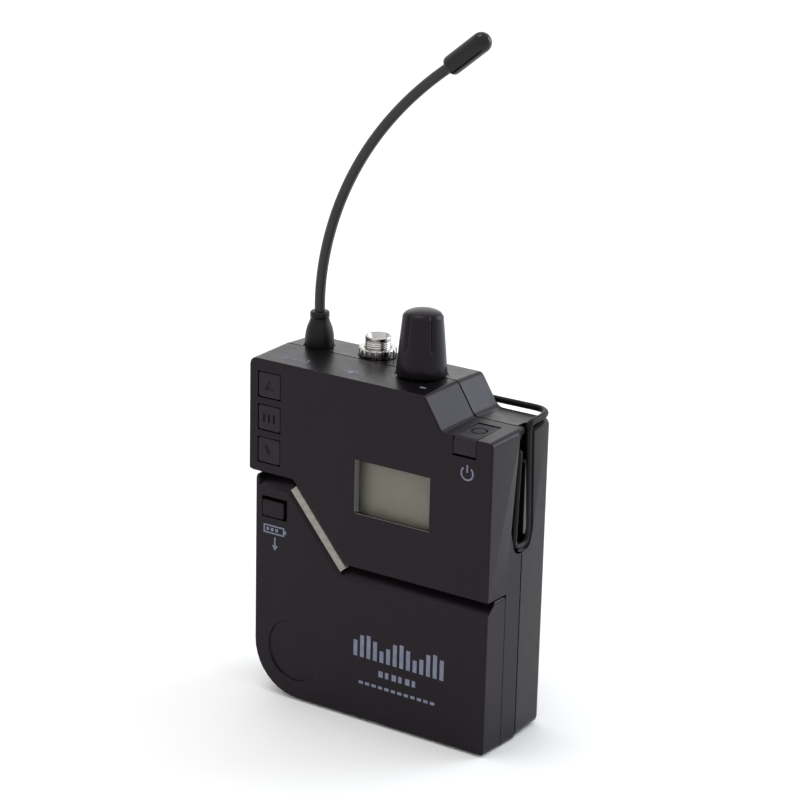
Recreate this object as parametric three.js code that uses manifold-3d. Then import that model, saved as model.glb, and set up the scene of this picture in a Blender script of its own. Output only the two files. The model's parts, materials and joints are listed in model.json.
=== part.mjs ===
// Wireless bodypack transmitter: a belt-worn radio pack with a whip antenna, a microphone
// socket, a gain knob, a small display, three keys, a power key and a sliding battery door.
// Millimetres. X runs across the front to the right, Y from the front to the back, Z up.

import * as THREE from 'three';
import { mergeVertices } from 'three/addons/utils/BufferGeometryUtils.js';
import Module from 'manifold-3d';

const wasm = await Module();
wasm.setup();

// ---------- Driving dimensions ----------

const bodyLeft = -32.65; // at the front face; both shells widen towards the seam
const bodyRight = 32;
const bodyDepth = 23.6;
const foot = -0.45; // the flat underside, a little below the front's lower edge
const tallTop = 79.6; // top of the side with the antenna and the knob
const lowTop = 72.4; // top of the side with the power key
const wall = 1.6;
const gap = 0.3; // between neighbouring pieces
const seam = { y: 12.8, gap: 0.4 }; // where the front housing meets the rear shell
const draft = 0.4; // how much wider the seam is than the front and the back, on each side
const housingEdge = 0.3;
const rearEdge = 0.9;
const lipGap = 0.15; // between the door's rim and the housing behind it

const crest = { x: 14.3, radius: 1.2 }; // the tall top ends here and slopes down
const valley = { x: 18.9, radius: 1.4 }; // the slope meets the low top here
const thumbCorner = 13; // radius of the big lower left corner

// The break line between the cover and the battery door: level, diagonal, level.
const breakLine = { leftZ: 53, rightZ: 36, leftX: -20.3, rightX: -5.8 };

const door = {
  left: -30.7,
  right: 32,
  bottom: 0,
  depth: 7,
  skin: 1.5,
  lip: 2.8, // how far back the upper edge reaches, so that it slides clear of the cells
  chamferSize: 2.85,
  chamferDepth: 3.2,
};
const guide = { inner: 29.1, outer: 30, reach: 9.4, low: 14, high: 31, wayTop: 10 };

const lens = { left: -3.4, right: 16.4, bottom: 49, top: 61.5 };
const keySize = { width: 6, height: 5.8, back: 3, gap: 0.2 };
const keyCentres = { x: -27, top: 73.8, pitch: 7.7 };
const latchFace = { left: -28.5, right: -22.5, bottom: 42.9, top: 46.9 };
const powerKey = { left: 22.1, right: 27.7, bottom: 68.4, back: 9.8, plate: 1.5 };

const antennaAt = { x: -24.8, y: 15.8 };
const jackAt = { x: -9.95, y: 17.6 };
const knobAt = { x: 5.5, y: 12.1 };

const whip = { radius: 1.2, root: tallTop + 8.6, endX: 8.2, endZ: tallTop + 68.1 };
const flexAt = 12; // length along the whip from its root to the middle of its bend
const tip = { radius: 2.3, length: 12, lean: THREE.MathUtils.degToRad(51.5) };

const knob = { baseRadius: 5.7, topRadius: 4.5, height: 13.5, dome: 1.4, lift: 0.3, flutes: 5 };

const wire = { radius: 0.75, x: bodyRight - 0.65, runZ: lowTop + 1, barY: bodyDepth + 1.6 };
const elbow = { y: 15.3, z: lowTop + 0.5 };
const tongue = { halfWidth: 9, shoulderZ: 73.25, bottomZ: 21, cornerBend: 4.8, shoulderBend: 5, tipBend: 8 };

const slot = { depth: 2.2, padDepth: 3.6, topFront: 10.3, topBack: 16.4, front: 8.3, back: 17.5, tip: 44.2 };

const board = { front: 9, thickness: 1.6, inset: 4.7 };
const cell = { radius: 7.1, length: 49.2, x: 0.4, y: 10.2, lowZ: 11.2, pitch: 14.7 };
const tray = { halfWidth: 28.6, floorFront: 17.6, floor: 1 };

const bosses = [
  [-18, 69],
  [18, 68.4],
  [24.5, 41.5],
  [-12, 52],
];

const latchProud = 0.35;
const middleX = (bodyLeft + bodyRight) / 2;
const middleY = (wire.barY + wire.radius - latchProud) / 2;

// ---------- Materials ----------

function finish(color, roughness, metalness = 0) {
  return new THREE.MeshStandardMaterial({ color, roughness, metalness });
}

const satinBlack = () => finish(0x2c282c, 0.45);
const keyBlack = () => finish(0x2b2b30, 0.6);
const softBlack = () => finish(0x1c1b1e, 0.55);
const blackSteel = () => finish(0x1d1b1b, 0.4, 0.6);
const chrome = () => finish(0xd8d8d6, 0.15, 1);
const brass = () => finish(0xc9a14a, 0.35, 1);
const tin = () => finish(0xbfc1c4, 0.3, 1);
const boardGreen = () => finish(0x1d5b33, 0.5);
const displayGrey = () => finish(0x7a7b72, 0.3);
const clear = () => finish(0xdfe4e2, 0.1);
const milky = () => finish(0xa39b92, 0.4);
const rubberGrey = () => finish(0x4b4b4e, 0.8);
const cellBlue = () => finish(0x37516e, 0.4, 0.3);

// ---------- Solids ----------

function toSolid(geometry) {
  geometry.deleteAttribute('normal');
  geometry.deleteAttribute('uv');
  const merged = mergeVertices(geometry, 1e-4);
  const triangles = [];
  for (let i = 0; i < merged.index.count; i += 3) {
    const [a, b, c] = [0, 1, 2].map((k) => merged.index.getX(i + k));
    if (a !== b && b !== c && c !== a) triangles.push(a, b, c);
  }
  return new wasm.Manifold(
    new wasm.Mesh({
      numProp: 3,
      vertProperties: new Float32Array(merged.attributes.position.array),
      triVerts: new Uint32Array(triangles),
    }),
  );
}

function join(...solids) {
  return solids.reduce((sum, solid) => sum.add(solid));
}

function cut(solid, ...tools) {
  return tools.reduce((rest, tool) => rest.subtract(tool), solid);
}

const transmitter = new THREE.Group();

function addPart(name, solid, material) {
  const mesh = solid.getMesh();
  const geometry = new THREE.BufferGeometry();
  geometry.setAttribute('position', new THREE.BufferAttribute(mesh.vertProperties, 3));
  geometry.setIndex(new THREE.BufferAttribute(mesh.triVerts, 1));
  const part = new THREE.Mesh(geometry, material);
  part.name = name;
  transmitter.add(part);
}

// Corners are [across, up, radius], anticlockwise. Each corner becomes an arc.
function roundedPoints(corners) {
  const points = [];
  corners.forEach(([x, y, radius], i) => {
    const corner = new THREE.Vector2(x, y);
    const [px, py] = corners.at(i - 1);
    const [nx, ny] = corners[(i + 1) % corners.length];
    const arriving = corner.clone().sub(new THREE.Vector2(px, py)).normalize();
    const leaving = new THREE.Vector2(nx, ny).sub(corner).normalize();
    const turn = Math.atan2(arriving.cross(leaving), arriving.dot(leaving));
    if (radius < 0.05) {
      points.push(corner);
      return;
    }
    const reach = radius * Math.tan(Math.abs(turn) / 2);
    const start = corner.clone().addScaledVector(arriving, -reach);
    const side = new THREE.Vector2(-arriving.y, arriving.x).multiplyScalar(Math.sign(turn));
    const centre = start.clone().addScaledVector(side, radius);
    const steps = Math.min(10, 2 + Math.round(Math.abs(turn) * radius * 0.45));
    for (let k = 0; k <= steps; k += 1) {
      const angle = (turn * k) / steps;
      const spoke = start.clone().sub(centre).rotateAround(new THREE.Vector2(), angle);
      points.push(centre.clone().add(spoke));
    }
  });
  return points;
}

// Moves every edge of a rounded outline inwards by the same distance.
function inset(corners, distance) {
  return corners.map(([x, y, radius], i) => {
    const [px, py] = corners.at(i - 1);
    const [nx, ny] = corners[(i + 1) % corners.length];
    const arriving = new THREE.Vector2(x - px, y - py).normalize();
    const leaving = new THREE.Vector2(nx - x, ny - y).normalize();
    const slide = distance / (1 + arriving.dot(leaving));
    const convex = Math.sign(arriving.cross(leaving));
    const shiftX = -(arriving.y + leaving.y) * slide;
    const shiftY = (arriving.x + leaving.x) * slide;
    return [x + shiftX, y + shiftY, Math.max(0, radius - convex * distance)];
  });
}

function extrude(corners, depth, options = { bevelEnabled: false }) {
  const shape = new THREE.Shape(roundedPoints(corners));
  return new THREE.ExtrudeGeometry(shape, { depth, steps: 1, ...options });
}

// A slab whose outline lies across (X) and up (Z), running from yFront to yBack.
function slab(corners, yFront, yBack) {
  return toSolid(extrude(corners, yBack - yFront).rotateX(Math.PI / 2).translate(0, yBack, 0));
}

// The same slab with its front or its back edge taken in by size over depth.
function edgedSlab(corners, yFront, yBack, end, size, depth = size, bevelSegments = 2) {
  const options = { bevelThickness: depth, bevelSize: size, bevelOffset: -size, bevelSegments };
  const geometry = extrude(corners, yBack - yFront, options).rotateX(Math.PI / 2);
  geometry.translate(0, end === 'front' ? yBack + depth : yBack - depth, 0);
  return toSolid(geometry).intersect(block([-99, 99], [yFront, yBack], [-99, 99]));
}

// A slab whose outline is taken in by its own distance at each depth. Rows are [y, distance].
function taperedSlab(corners, rows) {
  const outline = roundedPoints(corners).map(({ x, y }) => [x, y, 0]);
  const rings = rows.map(([, distance]) => inset(outline, distance));
  const count = outline.length;
  const index = [];
  rows.slice(1).forEach((_, row) => {
    outline.forEach((__, k) => {
      const a = row * count + k;
      const b = row * count + ((k + 1) % count);
      index.push(a, a + count, b + count, a, b + count, b);
    });
  });
  const cap = (ring) => THREE.ShapeUtils.triangulateShape(ring.map(([x, y]) => new THREE.Vector2(x, y)), []);
  cap(rings[0]).forEach(([a, b, c]) => index.push(a, b, c));
  const last = (rows.length - 1) * count;
  cap(rings.at(-1)).forEach(([a, b, c]) => index.push(last + a, last + c, last + b));
  const geometry = new THREE.BufferGeometry();
  const positions = rings.flatMap((ring, i) => ring.flatMap(([x, z]) => [x, rows[i][0], z]));
  geometry.setAttribute('position', new THREE.Float32BufferAttribute(positions, 3));
  return toSolid(geometry.setIndex(index));
}

// A slab whose outline lies along Y and up (Z), running from x0 to x1.
function sideSlab(corners, x0, x1) {
  const geometry = extrude(corners, x1 - x0);
  const turn = new THREE.Matrix4().makeBasis(
    new THREE.Vector3(0, 1, 0),
    new THREE.Vector3(0, 0, 1),
    new THREE.Vector3(1, 0, 0),
  );
  return toSolid(geometry.applyMatrix4(turn).translate(x0, 0, 0));
}

function block([x0, x1], [y0, y1], [z0, z1]) {
  const geometry = new THREE.BoxGeometry(x1 - x0, y1 - y0, z1 - z0);
  return toSolid(geometry.translate((x0 + x1) / 2, (y0 + y1) / 2, (z0 + z1) / 2));
}

// The interval from inner to outer on the right side (1) or mirrored on the left (-1).
function span(side, inner, outer) {
  return side > 0 ? [inner, outer] : [-outer, -inner];
}

function rodUp({ x, y }, z0, z1, radius, sides = 20) {
  const geometry = new THREE.CylinderGeometry(radius, radius, z1 - z0, sides);
  return toSolid(geometry.rotateX(Math.PI / 2).translate(x, y, (z0 + z1) / 2));
}

function rodBack(x, z, y0, y1, radius, sides = 16) {
  const geometry = new THREE.CylinderGeometry(radius, radius, y1 - y0, sides);
  return toSolid(geometry.translate(x, (y0 + y1) / 2, z));
}

// A turned piece standing on the axis at (x, y). The profile is [radius, height] pairs.
function turned(profile, { x, y }, z, sides = 24) {
  const points = profile.map(([radius, height]) => new THREE.Vector2(radius, height));
  const geometry = new THREE.LatheGeometry([...points, points[0]], sides);
  return toSolid(geometry.rotateX(Math.PI / 2).translate(x, y, z));
}

function ball(x, y, z, radius) {
  return toSolid(new THREE.SphereGeometry(radius, 10, 8).translate(x, y, z));
}

// A round wire along straight runs. Each inner point is rounded over its own bend length.
function bentWire(points, bends, radius, sides = 6) {
  const path = new THREE.CurvePath();
  let from = points[0];
  points.slice(1, -1).forEach((corner, i) => {
    const toPrevious = points[i].clone().sub(corner);
    const toNext = points[i + 2].clone().sub(corner);
    const reach = Math.min(bends[i], toPrevious.length() / 2, toNext.length() / 2);
    const start = corner.clone().add(toPrevious.setLength(reach));
    const end = corner.clone().add(toNext.setLength(reach));
    path.add(new THREE.LineCurve3(from, start));
    path.add(new THREE.QuadraticBezierCurve3(start, corner, end));
    from = end;
  });
  path.add(new THREE.LineCurve3(from, points.at(-1)));
  return sweep(path, radius, sides, Math.ceil(path.getLength() / (radius * 2.8)));
}

function sweep(path, radius, sides, steps) {
  const section = new THREE.Shape(
    Array.from({ length: sides }, (_, k) => {
      const angle = (2 * Math.PI * k) / sides;
      return new THREE.Vector2(radius * Math.cos(angle), radius * Math.sin(angle));
    }),
  );
  return toSolid(new THREE.ExtrudeGeometry(section, { extrudePath: path, steps }));
}

// ---------- Outlines seen from the front ----------

const topCorners = [
  [bodyRight, lowTop, 1],
  [valley.x, lowTop, valley.radius],
  [crest.x, tallTop, crest.radius],
  [bodyLeft, tallTop, 1.6],
];

const lowEdge = -0.15; // the lower edge of the front and of the back
const bodyCorners = [[bodyLeft, lowEdge, thumbCorner], [bodyRight, lowEdge, 0.7], ...topCorners];
const seamCorners = inset(bodyCorners, -draft);

// The rear shell is softer to wear: none of its corners is sharper than its back edge.
const rearCorners = seamCorners.map(([x, z, radius]) => [x, z, Math.max(radius, draft + rearEdge + 0.5)]);

const coverCorners = [
  [bodyLeft, breakLine.leftZ, 1.4],
  [breakLine.leftX, breakLine.leftZ, 1.6],
  [breakLine.rightX, breakLine.rightZ, 2],
  [bodyRight, breakLine.rightZ, 0.6],
  ...topCorners,
];

// The cover's side of the break line, reaching far above the top.
const coverRegion = [
  [bodyLeft - draft - 0.1, breakLine.leftZ, 1.5],
  [breakLine.leftX, breakLine.leftZ, 1.6],
  [breakLine.rightX, breakLine.rightZ, 2],
  [bodyRight + draft + 0.1, breakLine.rightZ, 0.7],
  [bodyRight + draft + 0.1, 99, 0],
  [bodyLeft - draft - 0.1, 99, 0],
];

const bayCorners = [
  [bodyLeft, lowEdge, thumbCorner],
  [bodyRight, lowEdge, 0.7],
  [bodyRight, breakLine.rightZ, 0],
  [breakLine.rightX, breakLine.rightZ, 0],
  [breakLine.leftX, breakLine.leftZ, 0],
  [bodyLeft, breakLine.leftZ, 0],
];

// ---------- Casing ----------

const islandCorners = [
  [12.75, 68.4, 0.1],
  [12.75, 50.5, 1],
  [13.4, slot.tip + 2.05, 0.5],
  [14.3, 50, 1],
  [13.6, 59, 1],
];

// The narrow recess with a round foot in a side, which takes the hairpin end of the belt clip.
// Only its outer part is open at the top in front of the wire.
function clipSlot(top) {
  const foot = [
    [slot.front, slot.tip + 5.8, 3],
    [slot.front + 1.8, slot.tip, 2.5],
    [slot.back - 1.3, slot.tip, 2.5],
    [slot.back, slot.tip + 4.4, 3],
    [slot.topBack, lowTop, 0],
    [slot.topBack, top, 0],
  ];
  const mouth = [[slot.topFront, top, 0], [slot.topFront - 0.1, lowTop - 4, 3], ...foot];
  const well = [
    [slot.topFront + 3, top, 0],
    [slot.topFront + 3, lowTop - 1, 0],
    [slot.topFront - 0.1, lowTop - 3, 0],
    ...foot,
  ];
  return cut(
    join(sideSlab(mouth, bodyRight - 0.5, bodyRight + 2), sideSlab(well, bodyRight - slot.depth, bodyRight + 1)),
    sideSlab(islandCorners, bodyRight - slot.depth - 1, bodyRight + 3),
  );
}

// The left slot ends below the tall top, so a channel leads the wire out at the back.
function leftSlot() {
  const channel = [
    [elbow.y - 1.2, wire.runZ - 2, 0],
    [bodyDepth + 1, wire.runZ - 1.3, 0],
    [bodyDepth + 1, wire.runZ + 4, 0],
    [elbow.y - 1.2, wire.runZ + 1.4, 0],
  ];
  const way = sideSlab(channel, bodyRight - slot.depth - 1, bodyRight + 2);
  const right = join(clipSlot(wire.runZ + 1.4), way);
  return right.mirror([1, 0, 0]);
}

// A shallow groove in the right shoulder, close under the wire on its way to the back.
function wireGroove() {
  const below = wire.radius + 0.12;
  const corners = [
    [slot.topBack - 1, elbow.z - below, 0],
    [wire.barY, wire.runZ - below, 0],
    [wire.barY, tallTop, 0],
    [slot.topBack - 1, tallTop, 0],
  ];
  return sideSlab(corners, wire.x - wire.radius - 0.15, bodyRight + 2);
}

function clipSlots() {
  return [clipSlot(lowTop + 4), leftSlot(), wireGroove()];
}

// Flat seats for the pieces that stand on the tall top, which rises towards the seam.
function seats() {
  return [
    rodUp(antennaAt, tallTop, tallTop + 2, 3.7, 24),
    rodUp(jackAt, tallTop, tallTop + 2, 4.55, 24),
    rodUp(knobAt, tallTop, tallTop + 2, knob.baseRadius + gap, 32),
  ];
}

// A shell that narrows from the seam to its end, with that end's edge taken off.
function draftedShell(corners, seamFace, endFace, edge, steps) {
  const away = Math.sign(endFace - seamFace);
  const rows = [[seamFace, 0]];
  for (let step = 0; step <= steps; step += 1) {
    const angle = ((step / steps) * Math.PI) / 2;
    const y = endFace - away * edge * (1 - Math.sin(angle));
    rows.push([y, draft + edge * (1 - Math.cos(angle))]);
  }
  const shell = taperedSlab(corners, away > 0 ? rows : rows.reverse());
  return cut(shell, block([-40, 40], [-1, 40], [-5, foot]));
}

// Thicker side walls behind the slots.
function slotPads(yFront, yBack) {
  const inner = bodyRight - slot.padDepth;
  const outer = bodyRight - 0.6;
  const low = slot.tip - 1.6;
  return [
    block(span(1, inner, outer), [yFront, Math.min(yBack, 19.5)], [low, lowTop - 0.5]),
    block(span(-1, inner, outer), [yFront, yBack], [low, tallTop - 1]),
  ];
}

function keyCentreZ(row) {
  return keyCentres.top - row * keyCentres.pitch;
}

function keyHole(row) {
  const z = keyCentreZ(row);
  const halfX = keySize.width / 2 + keySize.gap;
  const halfZ = keySize.height / 2 + keySize.gap;
  return block([keyCentres.x - halfX, keyCentres.x + halfX], [-1, wall + 1], [z - halfZ, z + halfZ]);
}

// Outer frame of the diagonal: s runs down it, w away from the cover.
const diagonal = new THREE.Vector2(
  breakLine.rightX - breakLine.leftX,
  breakLine.rightZ - breakLine.leftZ,
).normalize();

function onDiagonal(s, w) {
  const x = breakLine.leftX + diagonal.x * s + diagonal.y * w;
  const z = breakLine.leftZ + diagonal.y * s - diagonal.x * w;
  return [x, z, 0];
}

const lightPipe = { start: 8, end: 15, front: 1.4, back: 2.2 };

function lightPipeSlot() {
  const { start, end } = lightPipe;
  const corners = [
    onDiagonal(start - gap, 1),
    onDiagonal(end + gap, 1),
    onDiagonal(end + gap, -wall - 1.8),
    onDiagonal(start - gap, -wall - 1.8),
  ];
  return slab(corners, lightPipe.front - gap, lightPipe.back + gap);
}

function frontHousing() {
  const back = seam.y - seam.gap / 2;
  const coverWall = 1.8;
  const shell = join(
    edgedSlab(coverRegion, 0, back, 'front', housingEdge, housingEdge, 1),
    block([-40, 40], [door.depth + lipGap, back], [-1, 99]),
  ).intersect(draftedShell(seamCorners, back, 0, housingEdge, 1));
  const hollow = cut(
    shell,
    slab(inset(coverCorners, wall), coverWall, seam.y + 1),
    slab(inset(bayCorners, wall), door.depth - 1, seam.y + 1),
  );
  const posts = bosses.map(([x, z]) => rodBack(x, z, coverWall - 0.3, board.front - gap, 2.6));
  const pilots = bosses.map(([x, z]) => rodBack(x, z, 3.6, board.front + 1, 1.25, 10));
  const windowHole = block([lens.left, lens.right], [-1, 3], [lens.bottom, lens.top]);
  const lensSeat = block(
    [lens.left - 1, lens.right + 1],
    [0.9, 3],
    [lens.bottom - 1, lens.top + 1],
  );
  const powerHole = block(
    [powerKey.left - keySize.gap, powerKey.right + keySize.gap],
    [-1, powerKey.back + keySize.gap],
    [powerKey.bottom - 0.4, tallTop],
  );
  const guideWays = [-1, 1].map((side) => {
    const across = span(side, guide.inner - gap, guide.outer + gap);
    return block(across, [door.depth - 1, guide.reach + gap], [-1, guide.wayTop]);
  });
  return cut(
    join(hollow, ...slotPads(door.depth + 0.5, back), ...posts),
    ...pilots,
    ...clipSlots(),
    ...[0, 1, 2].map(keyHole),
    windowHole,
    lensSeat,
    powerHole,
    ...guideWays,
    ...seats(),
    lightPipeSlot(),
    rodUp(knobAt, tallTop - 5, tallTop + 2, 3.9),
    rodUp(antennaAt, tallTop - 5, tallTop + 2, 3.1),
  );
}

function rearShell() {
  const front = seam.y + seam.gap / 2;
  const backWall = 1.8;
  const shell = draftedShell(rearCorners, front, bodyDepth, rearEdge, 3);
  const hollow = cut(shell, slab(inset(bodyCorners, wall), front - 1, bodyDepth - backWall));
  const boardBack = board.front + board.thickness;
  const posts = bosses.map(([x, z]) => rodBack(x, z, front, bodyDepth - 1, 2.6));
  const bores = bosses.map(([x, z]) => rodBack(x, z, boardBack, bodyDepth + 1, 1.35, 10));
  const headSinks = bosses.map(([x, z]) => rodBack(x, z, bodyDepth - 2, bodyDepth + 1, 2.2));
  return cut(
    join(hollow, ...slotPads(front, bodyDepth - 1), ...posts),
    ...bores,
    ...headSinks,
    ...clipSlots(),
    ...seats(),
    rodUp(knobAt, tallTop - 5, tallTop + 2, 3.9),
    rodUp(antennaAt, tallTop - 5, tallTop + 2, 3.1),
    rodUp(jackAt, tallTop - 5, tallTop + 2, 3.3),
  );
}

// ---------- Battery door ----------

const breakGap = 0.45;
const doorCorners = [
  [door.left, door.bottom, thumbCorner - 0.8],
  [door.right, door.bottom, 0.6],
  [door.right, breakLine.rightZ - breakGap, 0.6],
  [breakLine.rightX - breakGap / 2, breakLine.rightZ - breakGap, 1.2],
  [breakLine.leftX - breakGap / 2, breakLine.leftZ - breakGap, 1.4],
  [door.left, breakLine.leftZ - breakGap, 1.1],
];

// The door's upper edge only, with the other three sides far outside the door.
const chamferCorners = [
  [-50, -20, 0],
  [50, -20, 0],
  [50, breakLine.rightZ - breakGap, 0],
  [breakLine.rightX - breakGap / 2, breakLine.rightZ - breakGap, 0],
  [breakLine.leftX - breakGap / 2, breakLine.leftZ - breakGap, 0],
  [-50, breakLine.leftZ - breakGap, 0],
];

const thumbDish = { x: -19.4, z: 11.8, radius: 7.9, depth: 0.45 };

function batteryDoor() {
  const outer = taperedSlab(doorCorners, [[0, 0.4], [0.12, 0.16], [0.4, 0], [door.depth, -0.2]]);
  const chamfer = edgedSlab(chamferCorners, 0, door.depth, 'front', door.chamferSize, door.chamferDepth, 1);
  const leftRim = block([-40, door.left + 1], [-1, door.depth + 1], [-1, 99]);
  const innerCorners = inset(doorCorners, door.skin).map(([x, z, r], i) => [x, i > 1 ? z - 0.95 : z, r]);
  const inner = slab(innerCorners, door.skin, door.depth + 1);
  const clearway = block([0.2 - guide.inner, guide.inner - 0.2], [door.lip, door.depth + 1], [5, 60]);
  const guides = [-1, 1].map((side) =>
    block(span(side, guide.inner, guide.outer), [door.skin - 0.2, guide.reach], [guide.low, guide.high]),
  );
  const latchHole = block(
    [latchFace.left - gap, latchFace.right + 0.7],
    [-1, 6],
    [latchFace.bottom - gap, latchFace.top + 0.7],
  );
  const dish = toSolid(
    new THREE.CylinderGeometry(thumbDish.radius - 0.6, thumbDish.radius, 2, 32).translate(
      thumbDish.x,
      thumbDish.depth - 1,
      thumbDish.z,
    ),
  );
  const face = outer.intersect(join(chamfer, leftRim));
  return cut(join(cut(face, inner, clearway), ...guides), latchHole, dish);
}

function doorLatch() {
  const { left, right, bottom, top } = latchFace;
  const face = [
    [left, bottom, 0.5],
    [right, bottom, 0.5],
    [right, top, 0.5],
    [left, top, 0.5],
  ];
  const plate = block([left - 0.3, right + 1.1], [door.skin + gap, door.lip - 0.1], [bottom - 1.4, top + 1.4]);
  return join(edgedSlab(face, -latchProud, 2.4, 'front', 0.4), plate);
}

// ---------- Display, keys and light bar ----------

function lcdWindow() {
  const corners = [
    [lens.left - 0.7, lens.bottom - 0.7, 0],
    [lens.right + 0.7, lens.bottom - 0.7, 0],
    [lens.right + 0.7, lens.top + 0.7, 0],
    [lens.left - 0.7, lens.top + 0.7, 0],
  ];
  return slab(corners, 1.1, 1.8);
}

function lcdModule() {
  return block([lens.left - 3, lens.right + 3], [2.2, 4.6], [lens.bottom - 2, lens.top + 3]);
}

function lcdFrame() {
  const outer = block([lens.left - 3, lens.right + 3], [4.9, 8.7], [lens.bottom - 2, lens.top + 3]);
  return cut(outer, block([lens.left - 1.6, lens.right + 1.6], [4, 9], [lens.bottom - 0.6, lens.top + 1.6]));
}

function keyCap(row) {
  const z = keyCentreZ(row);
  const halfX = keySize.width / 2;
  const halfZ = keySize.height / 2;
  const corners = [
    [keyCentres.x - halfX, z - halfZ, 0.5],
    [keyCentres.x + halfX, z - halfZ, 0.5],
    [keyCentres.x + halfX, z + halfZ, 0.5],
    [keyCentres.x - halfX, z + halfZ, 0.5],
  ];
  const flange = block(
    [keyCentres.x - halfX, keyCentres.x + halfX + 0.6],
    [wall + 0.5, keySize.back],
    [z - halfZ - 0.6, z + halfZ + 0.6],
  );
  return cut(join(edgedSlab(corners, 0, keySize.back, 'front', 0.25), flange), keyIcon(row, z));
}

// A triangle pointing up or down, or three short bars on the middle key.
function keyIcon(row, z) {
  const points = { 0: 1, 2: -1 }[row];
  if (points === undefined) {
    const bars = [-1.35, 0, 1.35].map((shift) => {
      const x = keyCentres.x + shift;
      return block([x - 0.3, x + 0.3], [-1, 0.3], [z - 1, z + 1]);
    });
    return join(...bars);
  }
  const base = [
    [keyCentres.x - 1.3, z - 1.1 * points, 0],
    [keyCentres.x + 1.3, z - 1.1 * points, 0],
    [keyCentres.x, z + 1.2 * points, 0],
  ];
  return slab(points > 0 ? base : base.reverse(), -1, 0.3);
}

function keyMat() {
  const low = keyCentreZ(2) - 3.2;
  const high = keyCentreZ(0) + 3;
  const sheet = block([keyCentres.x - 3, keyCentres.x + 3.6], [4, 4.7], [low, high]);
  const domes = [0, 1, 2].map((row) => rodBack(keyCentres.x, keyCentreZ(row), 4.6, 5.1, 1.4, 12));
  return join(sheet, ...domes);
}

function tactSwitch(x, z) {
  const body = block([x - 2.2, x + 2.2], [6.1, board.front - gap], [z - 2.2, z + 2.2]);
  return join(body, rodBack(x, z, 5.4, 6.3, 1.1, 12));
}

function powerKeyCap() {
  const { left, right, bottom, back, plate } = powerKey;
  const profile = [
    [0, bottom, 0.3],
    [plate, bottom, 0.2],
    [plate, lowTop - plate, 0.3],
    [back, lowTop - plate, 0.2],
    [back, lowTop + 0.2, 0.3],
    [0, lowTop, 1],
  ];
  const flange = block([left - 0.8, right + 0.3], [3, back - 0.6], [lowTop - wall - 1.4, lowTop - wall - gap]);
  const neck = block([left, right], [3, back - 0.6], [lowTop - wall - 1, lowTop - 1]);
  const stem = block([left + 1.6, right - 1.6], [5.2, 7.6], [lowTop - 4.2, lowTop - wall - 1]);
  const icon = cut(
    rodUp({ x: (left + right) / 2, y: back / 2 + 0.8 }, lowTop - 0.25, lowTop + 1, 1.9, 20),
    rodUp({ x: (left + right) / 2, y: back / 2 + 0.8 }, lowTop - 1, lowTop + 2, 1.45, 20),
  );
  return cut(join(sideSlab(profile, left, right), flange, neck, stem), icon);
}

function powerSwitch() {
  const x = (powerKey.left + powerKey.right) / 2;
  const body = block([x - 2.4, x + 2.4], [4.6, board.front - gap], [lowTop - 9.4, lowTop - 6]);
  return join(body, block([x - 0.8, x + 0.8], [5.8, 7], [lowTop - 6.2, lowTop - 5.2]));
}

// A wedge along the diagonal: flat in front, its back parallel to the door's chamfer. A thin
// pipe behind it leads through the cover's wall to the lamp on the board.
function lightBar() {
  const start = 1.6;
  const end = 23;
  const front = 0.25;
  const slope = door.chamferSize / door.chamferDepth;
  const farAt = (y) => door.chamferSize - slope * y;
  const layers = [front, 0.75, 1.25, 1.75, 2.25];
  const wedge = layers.slice(0, -1).map((y, i) => {
    const far = farAt(layers[i + 1]);
    const outline = [onDiagonal(start, far), onDiagonal(end, far), onDiagonal(end, gap), onDiagonal(start, gap)];
    return slab(outline, y - 0.01, layers[i + 1]);
  });
  const { start: pipeStart, end: pipeEnd } = lightPipe;
  const pipe = slab(
    [
      onDiagonal(pipeStart, gap + 0.2),
      onDiagonal(pipeEnd, gap + 0.2),
      onDiagonal(pipeEnd, -wall - 1.4),
      onDiagonal(pipeStart, -wall - 1.4),
    ],
    lightPipe.front,
    lightPipe.back,
  );
  return join(...wedge, pipe);
}

function statusLed() {
  const [x, z] = onDiagonal((lightPipe.start + lightPipe.end) / 2, -wall - 4.6);
  return block([x - 1, x + 1], [board.front - 1.5, board.front - gap], [z - 0.8, z + 0.8]);
}

// ---------- Electronics ----------

function mainBoard() {
  const sheet = slab(inset(coverCorners, board.inset), board.front, board.front + board.thickness);
  const holes = bosses.map(([x, z]) => rodBack(x, z, board.front - 1, board.front + 3, 1.5, 12));
  const knobRelief = block([knobAt.x - 5.6, knobAt.x + 5.6], [board.front - 1, board.front + 3], [66, 90]);
  return cut(sheet, ...holes, knobRelief);
}

function rfShield() {
  const back = board.front + board.thickness;
  const can = block([-9, 12], [back + gap, back + 3.8], [44.5, 63]);
  return cut(can, block([-8.7, 11.7], [back - 1, back + 3.5], [44.8, 62.7]));
}

function gainPot() {
  const body = block([knobAt.x - 4.9, knobAt.x + 4.9], [knobAt.y - 5, knobAt.y + 5], [tallTop - 8.5, tallTop - 2]);
  const bush = rodUp(knobAt, tallTop - 2.5, tallTop + 0.2, 3.5);
  return cut(join(body, bush), rodUp(knobAt, tallTop - 6, tallTop + 2, 2.9));
}

function potShaft() {
  return rodUp(knobAt, tallTop - 5.5, tallTop + 12, 2.5, 16);
}

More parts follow.
